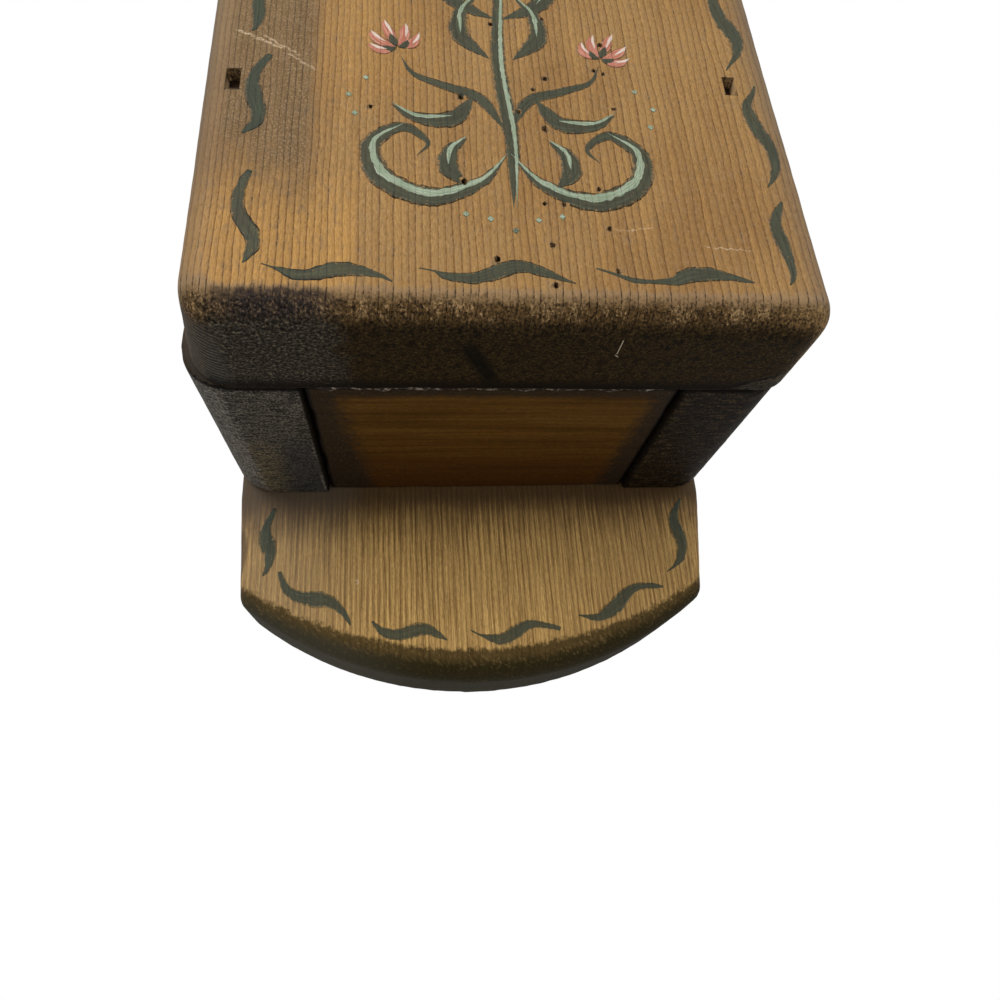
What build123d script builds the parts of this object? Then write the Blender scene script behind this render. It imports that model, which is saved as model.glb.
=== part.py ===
from build123d import *
import os

# A small pine wall pocket: an open-topped box of butted boards on a shaped backboard.
# Frame: +X to the right as seen from the front, +Y into the wall, +Z up.
# The origin is the middle of the hanging hole, on the back face that lies on the wall.
# All sizes are in millimetres.

# Boards
side_thickness = 19.0
front_thickness = 19.0
back_thickness = 19.0
bottom_thickness = 19.0

# Box
box_width = 100.4           # over both side boards
box_height = 165.0
pocket_depth = 40.6         # backboard to front panel
bottom_recess = 0.8         # bottom board set up inside the ends of the sides

# Front panel
front_inset_left = 1.6      # panel's left edge inside the left side's face, at the seam
front_bevel_left = 3.2      # how far that edge slants in towards the front
front_inset_right = 0.2
front_corner_left = 7.5     # corner radii in the front view
front_corner_right = 5.5
front_edge_radius = 5.0     # rounding all round the front face

# Backboard
back_width = 100.4
foot_drop = 39.6            # lowest point of the foot under the box
foot_drop_left = 22.3       # where the left flank turns into the arc
foot_drop_right = 23.2
foot_inset_left = 1.5       # how far the flank slants in from box to shoulder
foot_inset_right = 3.2
head_inset = 2.2
shoulder_radius = 3.0
head_rise = 62.0            # highest point of the head over the box
head_shoulder_rise = 43.0
head_flank_rise = 20.0      # straight edge over the box before the slant starts
back_edge_radius = 5.0      # rounding of the foot's and the head's front edge
hanging_hole_radius = 4.75
hole_below_top = 17.0

# Outer edge of each side board's end, rounded by wear
side_end_radius_left = 8.2
side_end_radius_right = 7.0

# T-headed finishing nails
nail_head_width = 2.2
nail_head_length = 4.2
nail_head_thickness = 1.2
nail_shank = 1.5
nail_length = 38.0
nail_point = 3.0            # length of the chisel point
nail_sunk = 2.0             # head below the wood's surface

# Nail places, heights from the box's underside
front_nail_left_height = 44.1
front_nail_right_height = 48.8
front_nail_spacing = 75.0
back_nail_height = 32.0
back_nail_spacing = 100.0
side_nail_edge = 10.0       # from the side board's front and back edges

# Levels and planes
box_top = hole_below_top - head_rise
box_bottom = box_top - box_height
head_top = box_top + head_rise
foot_end = box_bottom - foot_drop
pocket_back = -back_thickness
pocket_front = pocket_back - pocket_depth
front_face = pocket_front - front_thickness
side_middle = box_width / 2 - side_thickness / 2
floor_middle = box_bottom + bottom_recess + bottom_thickness / 2


def block(x_low, x_high, y_low, y_high, z_low, z_high):
    """A straight board between six planes."""
    size = Box(x_high - x_low, y_high - y_low, z_high - z_low)
    return Pos((x_low + x_high) / 2, (y_low + y_high) / 2, (z_low + z_high) / 2) * size


def backboard_board():
    """The backboard, with shaped foot and head and the hanging hole."""
    half = back_width / 2
    shoulder = half - head_inset
    left_foot = (foot_inset_left - half, box_bottom - foot_drop_left)
    right_foot = (half - foot_inset_right, box_bottom - foot_drop_right)
    head_flank = box_top + head_flank_rise
    head_shoulder = box_top + head_shoulder_rise
    outline = [
        Line((-half, box_bottom), (-half, head_flank)),
        Line((-half, head_flank), (-shoulder, head_shoulder)),
        ThreePointArc((-shoulder, head_shoulder), (0, head_top), (shoulder, head_shoulder)),
        Line((shoulder, head_shoulder), (half, head_flank)),
        Line((half, head_flank), (half, box_bottom)),
        Line((half, box_bottom), right_foot),
        ThreePointArc(right_foot, (0, foot_end), left_foot),
        Line(left_foot, (-half, box_bottom)),
    ]
    face = Plane.XZ * make_face(outline)
    board = extrude(face, back_thickness)
    across = board.edges().filter_by(Axis.Y)
    board = fillet([edge for edge in across if abs(edge.center().X) < half - foot_inset_left / 2],
                   shoulder_radius)
    front_rim = board.faces().sort_by(Axis.Y)[0].edges()
    shaped = [edge for edge in front_rim
              if edge.center().Z < box_bottom or edge.center().Z > head_flank]
    board = fillet(shaped, back_edge_radius)
    hole = Cylinder(hanging_hole_radius, 3 * back_thickness)
    return board - Rot(90, 0, 0) * hole


def side_board(side, end_radius):
    """A side board; side is -1 for the left one and 1 for the right one."""
    outer = side * box_width / 2
    inner = side * (box_width / 2 - side_thickness)
    board = block(min(outer, inner), max(outer, inner), pocket_front, pocket_back, box_bottom, box_top)
    outer_face = board.faces().sort_by(Axis.X)[-1 if side > 0 else 0]
    return fillet(outer_face.edges().filter_by(Axis.Y), end_radius)


def floor_board():
    """The bottom board, between the sides."""
    half = box_width / 2 - side_thickness
    low = box_bottom + bottom_recess
    return block(-half, half, pocket_front, pocket_back, low, low + bottom_thickness)


def front_board():
    """The front panel, bevelled at the left and rounded round its front face."""
    left = -box_width / 2 + front_inset_left
    right = box_width / 2 - front_inset_right
    plan = Polyline((left, pocket_front), (right, pocket_front), (right, front_face),
                    (left + front_bevel_left, front_face), close=True)
    board = extrude(Pos(0, 0, box_bottom) * make_face(plan), box_height)
    ends = board.faces().sort_by(Axis.Z)
    corners = list(ends[0].edges()) + list(ends[-1].edges())
    middle = (left + right) / 2
    level = pocket_front - front_thickness / 2
    corners = [edge for edge in corners if abs(edge.center().Y - level) < front_thickness / 4]
    board = fillet([edge for edge in corners if edge.center().X < middle], front_corner_left)
    corners = [edge for edge in board.edges().filter_by(Axis.Y)
               if abs(edge.center().X - right) < 0.01]
    board = fillet(corners, front_corner_right)
    return fillet(board.faces().sort_by(Axis.Y)[0].edges(), front_edge_radius)


def finishing_nail():
    """A T-headed nail, head in the plane Z = 0, point towards -Z, and the hole it is driven in."""
    head = Pos(0, 0, -nail_head_thickness / 2) * Box(nail_head_width, nail_head_length, nail_head_thickness)
    straight = nail_length - nail_point
    shank = Pos(0, 0, -straight / 2) * Box(nail_shank, nail_shank, straight)
    chisel = Polyline((-nail_shank / 2, 0), (nail_shank / 2, 0), (0, -nail_point), close=True)
    point = extrude(Plane.XZ * make_face(chisel), nail_shank / 2, both=True)
    nail = head + shank + Pos(0, 0, -straight) * point
    well = Pos(0, 0, nail_sunk) * Box(nail_head_width, nail_head_length, 2 * nail_sunk)
    return nail, nail + well


def driven_nails():
    """Name, nail and hole of every nail, in place."""
    front = Plane((0, front_face + nail_sunk, 0), x_dir=(1, 0, 0), z_dir=(0, -1, 0))
    back = Plane((0, -nail_sunk, 0), x_dir=(-1, 0, 0), z_dir=(0, 1, 0))
    nail, hole = finishing_nail()
    places = {}
    for side, name, height in ((-1, "left", front_nail_left_height), (1, "right", front_nail_right_height)):
        low = box_bottom + height
        places[f"front_nail_{name}_lower"] = front * Pos(side * side_middle, low, 0)
        places[f"front_nail_{name}_upper"] = front * Pos(side * side_middle, low + front_nail_spacing, 0)
        low = box_bottom + back_nail_height
        places[f"back_nail_{name}_lower"] = back * Pos(-side * side_middle, low, 0)
        places[f"back_nail_{name}_upper"] = back * Pos(-side * side_middle, low + back_nail_spacing, 0)
        level = side * (box_width / 2 - nail_sunk)
        for end, y in (("front", pocket_front + side_nail_edge), ("back", pocket_back - side_nail_edge)):
            plane = Plane((level, y, floor_middle), x_dir=(0, side, 0), z_dir=(side, 0, 0))
            places[f"side_nail_{name}_{end}"] = plane.location
    places["back_nail_bottom"] = back * Pos(0, floor_middle, 0)
    return {name: (place * nail, place * hole) for name, place in places.items()}


def boards():
    """Every board by name, before the nails are driven."""
    return {
        "backboard": backboard_board(),
        "left_side": side_board(-1, side_end_radius_left),
        "right_side": side_board(1, side_end_radius_right),
        "bottom_board": floor_board(),
        "front_panel": front_board(),
    }


def nails_through(name):
    """The first words of the nails that enter a board."""
    return {
        "backboard": ("back_nail",),
        "left_side": ("front_nail_left", "back_nail_left", "side_nail_left"),
        "right_side": ("front_nail_right", "back_nail_right", "side_nail_right"),
        "bottom_board": ("side_nail", "back_nail_bottom"),
        "front_panel": ("front_nail",),
    }[name]


def main():
    os.makedirs("parts", exist_ok=True)
    nails = driven_nails()
    for name, board in boards().items():
        for nail_name, (nail, hole) in nails.items():
            if nail_name.startswith(nails_through(name)):
                board = board - hole
        export_step(board, f"parts/{name}.step")
    for nail_name, (nail, hole) in nails.items():
        export_step(nail, f"parts/{nail_name}.step")


main()
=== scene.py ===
import math
import random

import bmesh
import bpy
from mathutils import Matrix, Vector, noise
from mathutils.bvhtree import BVHTree


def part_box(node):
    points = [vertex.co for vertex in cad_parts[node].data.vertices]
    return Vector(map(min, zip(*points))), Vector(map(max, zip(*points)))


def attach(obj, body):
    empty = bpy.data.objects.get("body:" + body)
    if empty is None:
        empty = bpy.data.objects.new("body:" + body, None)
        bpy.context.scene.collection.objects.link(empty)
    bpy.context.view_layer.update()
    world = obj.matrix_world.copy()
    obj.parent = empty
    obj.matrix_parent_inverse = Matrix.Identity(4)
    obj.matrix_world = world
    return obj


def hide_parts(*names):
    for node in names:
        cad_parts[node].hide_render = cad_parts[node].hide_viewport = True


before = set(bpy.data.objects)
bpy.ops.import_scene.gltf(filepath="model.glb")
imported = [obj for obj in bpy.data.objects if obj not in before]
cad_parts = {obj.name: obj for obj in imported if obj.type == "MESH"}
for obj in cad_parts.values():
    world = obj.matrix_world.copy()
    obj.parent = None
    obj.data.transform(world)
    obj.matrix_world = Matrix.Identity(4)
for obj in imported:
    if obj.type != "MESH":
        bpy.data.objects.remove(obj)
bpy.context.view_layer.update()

mm = 0.001
sideLow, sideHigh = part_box("left_side")
panelLow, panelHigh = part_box("front_panel")
backLow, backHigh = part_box("backboard")
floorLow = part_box("bottom_board")[0]
underside = sideLow.z           # lowest plane of the box, heights are measured from it
boxTop = sideHigh.z
boxTall = (boxTop - underside) / mm
faceFront = panelLow.y          # front face of the front panel
seamPlane = panelHigh.y         # where the panel meets the sides
footPlane = backLow.y           # front face of the backboard


# A point of the scene: x and height over the underside in mm, depth as a plane in metres.
def at(x, depth, height):
    return Vector((x * mm, depth, underside + height * mm))


oldShine = 0.07                 # specular level of the dull old varnish, wood and steel


class Val:
    # a shader socket that can be used in plain sums

    def __init__(self, finish, socket):
        self.finish = finish
        self.socket = socket

    def math(self, operation, other=0.0, swapped=False):
        first, second = (other, self) if swapped else (self, other)
        return self.finish.node("ShaderNodeMath", {"operation": operation}, {0: first, 1: second})

    def __add__(self, other):
        return self.math("ADD", other)

    def __sub__(self, other):
        return self.math("SUBTRACT", other)

    def __rsub__(self, other):
        return self.math("SUBTRACT", other, True)

    def __mul__(self, other):
        return self.math("MULTIPLY", other)

    def __pow__(self, other):
        return self.math("POWER", other)

    def __abs__(self):
        return self.math("ABSOLUTE")

    __radd__ = __add__
    __rmul__ = __mul__


class Finish:
    # one material and the few node forms that it is made of

    def __init__(self, name):
        self.material = bpy.data.materials.new(name)
        self.material.use_nodes = True
        self.tree = self.material.node_tree
        self.tree.nodes.clear()
        place = self.node("ShaderNodeTexCoord", out="Object")
        spread = self.node("ShaderNodeVectorMath", {"operation": "SCALE"}, {0: place, "Scale": 1 / mm})
        apart = self.node("ShaderNodeSeparateXYZ", {}, {0: spread})
        self.x = apart
        self.depth = self.other(apart, 1)
        self.height = self.other(apart, 2) - underside / mm
        facing = self.node("ShaderNodeTexCoord", out="Normal")
        facing = self.node("ShaderNodeSeparateXYZ", {}, {0: facing})
        self.facingX = facing
        self.facingY = self.other(facing, 1)
        self.facingZ = self.other(facing, 2)

    def other(self, value, output):
        return Val(self, value.socket.node.outputs[output])

    def node(self, kind, settings=None, sockets=None, out=0):
        made = self.tree.nodes.new(kind)
        for key, value in (settings or {}).items():
            setattr(made, key, value)
        for key, value in (sockets or {}).items():
            if isinstance(value, Val):
                self.tree.links.new(value.socket, made.inputs[key])
            else:
                made.inputs[key].default_value = value
        return Val(self, made.outputs[out]) if len(made.outputs) else None

    def vector(self, x, y, z):
        return self.node("ShaderNodeCombineXYZ", {}, {0: x, 1: y, 2: z})

    def noise(self, vector, scale=1.0, detail=2.0, rough=0.5):
        return self.node("ShaderNodeTexNoise", {}, {"Vector": vector, "Scale": scale, "Detail": detail,
                                                    "Roughness": rough})

    def chance(self, number):
        return self.node("ShaderNodeTexWhiteNoise", {"noise_dimensions": "1D"}, {"W": number})

    def ease(self, value, low, high):
        # 0 under low, 1 over high; runs down when low is over high
        start, end = (0.0, 1.0) if low < high else (1.0, 0.0)
        return self.node("ShaderNodeMapRange", {"interpolation_type": "SMOOTHSTEP"},
                         {"Value": value, "From Min": min(low, high), "From Max": max(low, high),
                          "To Min": start, "To Max": end})

    def mix(self, amount, first, second, blend="MIX"):
        both = {0: amount}
        for key, value in ((6, first), (7, second)):
            both[key] = value if isinstance(value, Val) else (*value, 1.0)
        return self.node("ShaderNodeMix", {"data_type": "RGBA", "blend_type": blend}, both, 2)

    def grey(self, value):
        return self.node("ShaderNodeCombineColor", {}, {0: value, 1: value, 2: value})

    def shade(self, colour, amount):
        # colour times a grey
        return self.mix(1.0, colour, self.grey(amount), "MULTIPLY")

    def between(self, value, low, high, soft):
        return self.ease(value, low - soft, low + soft) * self.ease(value, high + soft, high - soft)

    def scratch(self, across, up, start, end, width):
        # a thin line from start to end
        run = (end[0] - start[0], end[1] - start[1])
        length = math.hypot(*run)
        ux, uy = run[0] / length, run[1] / length
        along = (across - start[0]) * ux + (up - start[1]) * uy
        off = abs((up - start[1]) * ux - (across - start[0]) * uy)
        inside = self.between(along, 0.0, length, width)
        return self.ease(off, width, width * 0.3) * inside

    def layers(self, colour, tones, *coats):
        # coats laid one over the other: the amount of each, and its tone's name or a colour worked out before
        for amount, tone in coats:
            colour = self.mix(amount, colour, tones[tone] if isinstance(tone, str) else tone)
        return colour

    def surface(self, colour, rough, bump=None, strength=1.0, distance=0.1, metal=0.0):
        looks = {"Base Color": colour, "Roughness": rough, "Metallic": metal, "Specular IOR Level": oldShine}
        shader = self.node("ShaderNodeBsdfPrincipled", {}, looks)
        if bump is not None:
            raised = self.node("ShaderNodeBump", {}, {"Height": bump, "Strength": strength,
                                                      "Distance": distance * mm})
            self.tree.links.new(raised.socket, shader.socket.node.inputs["Normal"])
        self.node("ShaderNodeOutputMaterial", {}, {"Surface": shader})
        return self.material


pineTones = {
    "honey": (0.365, 0.212, 0.078),
    "amber": (0.295, 0.161, 0.057),
    "golden": (0.480, 0.262, 0.078),
    "line": (0.115, 0.050, 0.016),
    "fleck": (0.440, 0.285, 0.145),
    "haze": (0.260, 0.185, 0.115),
    "grime": (0.088, 0.063, 0.037),
    "scorch": (0.058, 0.031, 0.0090),
    "char": (0.0125, 0.0068, 0.0016),
    "raw": (0.36, 0.20, 0.085),
    "rawLine": (0.14, 0.065, 0.025),
    # painted shade in the joints between boards
    "jointShade": (0.003, 0.002, 0.0015),
}


# Growth lines and fibres of a board. turns counts the rings; across, along and deep are in mm.
def growthLines(fin, turns, across, along, deep):
    wave = fin.noise(fin.vector(across * 0.22, deep * 0.22, along * 0.07), 1.0, 2.0)
    shake = fin.noise(fin.vector(across * 1.1, deep, along * 0.5), 1.0, 3.0, 0.6)
    turns = turns + (wave - 0.5) * 0.9 + (shake - 0.5) * 0.18
    part = turns.math("FRACT")
    bold = fin.chance(turns.math("FLOOR"))
    line = fin.ease(part, 0.76, 0.90) * fin.ease(part, 1.0, 0.96)
    broken = fin.ease(fin.noise(fin.vector(across * 2.4, deep, along * 1.5), 1.0, 3.0, 0.75), 0.34, 0.60)
    line = line * (bold * 0.65 + 0.35) * (broken * 0.85 + 0.15)
    fibre = fin.noise(fin.vector(across * 5.0, deep * 5.0, along * 0.9), 1.0, 3.0, 0.72)
    broad = fin.noise(fin.vector(across * 0.6, deep * 0.4, along * 0.03), 1.0, 3.0, 0.6)
    return {"line": line, "late": fin.ease(part, 0.2, 0.95), "bold": bold, "fibre": fibre, "broad": broad,
            "ring": abs(part - 0.5) * 2.0}


# Fine and coarse mottling that runs the same way in all directions.
def mottle(fin, scale):
    place = fin.vector(fin.x, fin.depth, fin.height)
    return fin.noise(place, scale, 3.0, 0.7), fin.noise(place, scale * 0.33, 3.0, 0.6)


# Plain wood inside the pocket and on the wall side.
def rawWood(fin, grain):
    raw = fin.mix(grain["line"] * 0.6, pineTones["raw"], pineTones["rawLine"])
    return fin.shade(raw, 0.70 + grain["fibre"] * 0.5)


frontLook = {
    "pace": (0.90, 0.0040),      # growth lines per mm in the middle, and how they spread to the right
    "worn": (-42.0, -28.4),      # grimy strip, from the left edge inwards
    "wornFrom": (15.0, 34.0),    # its lower end fades between these heights
    "goldenTo": -21.5,           # right end of the golden patch at the lower left
    "sootTo": -23.0,             # right end of the sooty corner
    "ridgePace": 1.35,           # growth lines per mm on the rounded corner
    "scratches": (               # start, end, half width, strength
        ((-41.0, 55.4), (-33.6, 51.6), 0.34, 0.85),
        ((-36.8, 54.4), (-31.0, 50.4), 0.30, 0.70),
        ((-32.8, 50.6), (-28.4, 47.2), 0.30, 0.60),
        ((16.5, 16.2), (22.5, 16.6), 0.18, 0.55),
        ((30.0, 13.4), (37.5, 13.0), 0.20, 0.60),
    ),
    # on the underside, x and depth from the front face
    "hairs": (((17.0, 4.9), (16.9, 8.4)), ((16.7, 8.6), (17.3, 9.2))),
    "crack": ((37.5, 18.0), (44.5, 14.6), (50.6, 11.2)),
    "knot": ((-6.0, 6.4), (-1.2, 16.4), 1.9),
    "tones": {
        "wornSpeck": (0.400, 0.262, 0.138),
        "scratch": (0.62, 0.46, 0.30),
        # the greyer tone painted on the rounded long edges as their sheen
        "dusty": (0.158, 0.124, 0.086),
        "ember": (0.330, 0.212, 0.100),
        "curl": (0.072, 0.047, 0.014),
        "coal": (0.0040, 0.0026, 0.0005),
        "bare": (0.230, 0.140, 0.055),
        "sootBlack": (0.0200, 0.0155, 0.0150),
        "sootBrown": (0.0190, 0.0165, 0.0120),
        "ash": (0.120, 0.102, 0.074),
        "sootFleck": (0.150, 0.105, 0.060),
        # the sheen painted on the ridges of the lower left corner
        "ridge": (0.130, 0.116, 0.095),
        "groove": (0.014, 0.012, 0.009),
        # the shade painted along the seam
        "seamShade": (0.0035, 0.002, 0.001),
        "knot": (0.0016, 0.0016, 0.0006),
        "hair": (0.62, 0.52, 0.38),
        "chip": (0.125, 0.112, 0.082),
        "crack": (0.003, 0.002, 0.001),
    },
}


# Colour, roughness and relief of the front panel's stained pine.
def frontWood(fin):
    look, tones = frontLook, {**pineTones, **frontLook["tones"]}
    x, up, deep = fin.x, fin.height, fin.depth - faceFront / mm
    turns = x * look["pace"][0] - (x * x) * (look["pace"][1] / 2) + deep * 0.2
    grain = growthLines(fin, turns, x, up, deep)
    fine, coarse = mottle(fin, 2.3)
    edge = (fin.noise(fin.vector(x, deep, up), 0.22, 3.0) - 0.5) * 9.0
    patch = fin.noise(fin.vector(x, deep, up * 0.45), 0.06, 3.0, 0.6)
    golden = fin.ease(x + edge * 0.12, look["goldenTo"] + 0.7, look["goldenTo"] - 0.7)
    golden = golden * fin.ease(up + edge, 30.0, 14.0)
    golden = golden + fin.between(x + edge, -26.0, -12.0, 5.0) * fin.ease(up, 34.0, 48.0) * 0.5
    colour = fin.mix(fin.ease(patch, 0.38, 0.66), tones["honey"], tones["amber"])
    colour = fin.layers(
        colour, tones,
        (golden.math("MINIMUM", 1.0) * 0.85, "golden"),
        (fin.ease(grain["broad"], 0.45, 0.72) * 0.30, "golden"),
        (grain["late"] * 0.24 + grain["bold"] * 0.14, "line"),
    )
    colour = fin.shade(colour, 0.28 + grain["fibre"] * 1.44)
    speckle = fin.noise(fin.vector(x * 2.6, deep * 2.6, up * 1.5), 1.0, 3.0, 0.8)
    # grimy worn strip: a dark skin broken into light specks between the growth lines
    worn = fin.between(x + edge * 0.18, look["worn"][0], look["worn"][1], 1.6)
    worn = worn * fin.ease(up + edge * 1.6 + x * 0.5 + 17.0, *look["wornFrom"])
    dots = fin.noise(fin.vector(x * 3.4, deep * 3.4, up * 3.0), 1.0, 2.0, 0.8)
    pale = fin.ease(dots - grain["line"] * 0.16 + (coarse - 0.5) * 0.22, 0.49, 0.60)
    colour = fin.layers(
        colour, tones,
        (grain["line"] * 0.88, "line"),
        (fin.ease(speckle, 0.56, 0.66) * 0.42, "fleck"),
        (fin.ease(speckle, 0.42, 0.32) * 0.50, "line"),
        (worn * (0.62 + grain["line"] * 0.30), "grime"),
        (worn * pale * 0.62, "wornSpeck"),
    )
    for start, end, width, strength in look["scratches"]:
        mark = fin.scratch(x, up + (coarse - 0.5) * 1.6, start, end, width)
        colour = fin.layers(colour, tones, (mark * fin.ease(fine, 0.36, 0.60) * strength, "scratch"))
    # smooth varnish on the rounded long edges, with a greyer tone painted on as their sheen
    sides = fin.ease(x + edge * 0.1, -39.5, -46.0) + fin.ease(x + edge * 0.1, 41.0, 50.0)
    dusty = sides * (0.36 + grain["fibre"] * 0.25) + sides * fin.ease(up + edge, 22.0, 50.0) * 0.22
    # scorched ends: a pale fringe, dark brown with light specks over the edge, then black end grain
    down = abs(fin.facingZ)
    streaks = fin.noise(fin.vector(x * 1.5, deep * 0.3, up * 0.3), 1.0, 4.0, 0.78)
    ragged = (coarse - 0.5) * 0.45 + (streaks - 0.5) * 1.15
    fringe = fin.ease(down + ragged * 0.30, 0.0, 0.10)
    over = fin.ease(down + ragged * 0.60, 0.10, 0.56)
    under = fin.ease(down + ragged * 0.45, 0.72, 0.97)
    flecks = fin.noise(fin.vector(x * 2.2, deep * 1.1, up * 1.1), 1.0, 4.0, 0.85)
    clusters = fin.noise(fin.vector(x * 0.35, deep * 0.2, up * 0.2), 1.0, 3.0, 0.6)
    specks = fin.ease(flecks + (clusters - 0.5) * 0.5, 0.50, 0.64) * (1.0 - under * 0.85)
    curls = fin.noise(fin.vector(x * 1.3, deep * 2.8, up * 2.8), 1.0, 4.0, 0.8)
    rightEnd = fin.ease(x + edge * 0.5, 38.0, 47.0) * over * (1.0 - under)
    colour = fin.layers(
        colour, tones,
        (dusty, "dusty"),
        (fringe * 0.48, "haze"),
        (over * 0.93, "scorch"),
        (fringe * fin.ease(grain["line"], 0.10, 0.5) * 0.75, "char"),
        (over * specks * 0.66, "ember"),
        (over * fin.ease(streaks, 0.50, 0.38) * (1.0 - under) * 0.6, "char"),
        (over * fin.ease(fine, 0.44, 0.32) * 0.55, "char"),
        (under * 0.88, "char"),
        (under * fin.ease(curls, 0.49, 0.62) * 0.50, "curl"),
        (under * fin.ease(coarse, 0.50, 0.36) * 0.75, "coal"),
        (rightEnd * 0.50, "bare"),
    )
    # soot over the lower left corner
    sooty = fin.ease(x + edge * 0.7 + (streaks - 0.5) * 6.0, look["sootTo"] + 1.5, look["sootTo"] - 4.5)
    sooty = sooty * fin.ease(up, 60.0, 30.0)
    middle = fin.ease(x + edge * 0.8, -43.0, -36.5)
    black = sooty * middle * fin.ease(down + ragged * 0.45, 0.0, 0.26) * (1.0 - under * 0.7)
    colour = fin.layers(
        colour, tones,
        (black * (0.92 - specks * 0.3), "sootBlack"),
        (sooty * under * 0.80, "sootBrown"),
        (sooty * under * fin.ease(curls, 0.47, 0.62) * 0.62, "ash"),
        (sooty * over * fin.ease(fine, 0.56, 0.68) * 0.35, "sootFleck"),
    )
    gritty = 0.15 + fin.ease(fine, 0.30, 0.70) * 1.7
    colour = fin.mix(over, colour, fin.shade(colour, gritty))
    # growth lines standing out on that corner's rounding, with a paler tone painted on their ridges as sheen
    corner = fin.ease(x, -39.5, -43.5) * fin.ease(up, 13.0, 8.0) * fin.ease(deep, 3.0, 6.0)
    wobble = fin.noise(fin.vector(x, deep, up), 0.35, 2.0)
    ridge = (deep * look["ridgePace"] + wobble * 0.9).math("FRACT")
    ridge = fin.ease(abs(ridge - 0.5), 0.12, 0.42)
    # shade painted darkest along the seam, with a burnt knot in front of it
    seamShade = under * fin.ease(deep + (coarse - 0.5) * 2.0, 14.6, 17.9)
    start, end, width = look["knot"]
    knot = fin.scratch(x + edge * 0.12, deep + edge * 0.1, start, end, width)
    knot = knot * fin.ease(up, 5.0, 2.0) * fin.ease(coarse + fine * 0.5, 0.55, 0.75)
    colour = fin.layers(
        colour, tones,
        (corner * (0.15 + ridge * 0.45) * (0.5 + curls), "ridge"),
        (corner * (1.0 - ridge) * 0.70, "groove"),
        (seamShade * 0.9, "seamShade"),
        (knot * 0.95, "knot"),
    )
    for start, end in look["hairs"]:
        hair = fin.scratch(x, deep, start, end, 0.10) * fin.ease(up, 5.0, 3.0)
        colour = fin.layers(colour, tones, (hair * 0.8, "hair"))
    # a crack and a chipped skin under the right corner
    start, bend, end = look["crack"]
    crack = fin.scratch(x + (coarse - 0.5) * 2.2, deep + (fine - 0.5) * 0.7, start, bend, 0.34)
    crack = crack + fin.scratch(x + (coarse - 0.5) * 1.5, deep, bend, end, 0.24)
    crack = crack.math("MINIMUM", 1.0) * fin.ease(up, 9.0, 6.0)
    chip = fin.ease(deep + (x - 44.0) * 0.55 + (coarse - 0.5), 14.6, 15.4) * fin.ease(x, 38.0, 41.0)
    inner = fin.ease(fin.facingY, 0.6, 0.9)
    colour = fin.layers(
        colour, tones,
        (chip * fin.ease(up, 9.0, 6.0) * fin.ease(curls, 0.35, 0.65) * 0.4, "chip"),
        (crack, "crack"),
        (inner, rawWood(fin, grain)),
    )
    relief = grain["line"] * -0.55 + grain["fibre"] * 0.30 + (fine - 0.5) * (0.35 + under * 0.9)
    relief = relief - crack * 3.0 - worn * (1.0 - pale) * 0.25 + corner * ridge * 1.2 + over * curls * 0.5
    rough = 0.42 + 0.18 * fine + worn * 0.10 + over * 0.12 + inner * 0.2 - sides * 0.10
    return {"colour": colour, "rough": rough, "relief": relief, "grain": grain, "fine": fine}


def frontFinish():
    fin = Finish("stainedPineFront")
    wood = frontWood(fin)
    return fin.surface(wood["colour"], wood["rough"], wood["relief"], 0.55, 0.16)


footLook = {
    "pace": 0.92,                   # growth lines per mm
    "arc": ((-0.3, -39.6), 76.4),   # lowest point and radius of the foot's edge
    "headRadius": 70.1,
    "rim": 6.2,                     # width of the scorched rim in the middle
    "rimTaper": 0.0014,             # how it narrows towards the flanks
    "stain": (-50.5, -12.5),        # on the left flank
    "ring": ((-25.6, -19.6), 0.42),     # middle and radius of a small varnish ring
    "tones": {
        "early": (0.650, 0.405, 0.140),
        "late": (0.175, 0.092, 0.028),
        "line": (0.110, 0.055, 0.018),
        "darker": (0.150, 0.088, 0.036),
        "greyer": (0.205, 0.148, 0.092),
        # the painted shadow under the box, in two strengths
        "boxShadow": (0.066, 0.036, 0.015),
        "shadow": (0.030, 0.019, 0.010),
        "dust": (0.135, 0.110, 0.088),
        "burn": (0.046, 0.029, 0.0070),
        "olive": (0.0120, 0.0105, 0.0016),
        "oliveLeft": (0.040, 0.037, 0.022),
        "bare": (0.260, 0.170, 0.070),
        "coal": (0.0110, 0.0085, 0.0020),
        "stain": (0.085, 0.055, 0.034),
        "ring": (0.66, 0.46, 0.28),
    },
}


# Distance of a place on a board from a middle.
def awayFrom(x, up, middleX, middleUp):
    return ((x - middleX) ** 2.0 + (up - middleUp) ** 2.0).math("SQRT")


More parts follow.
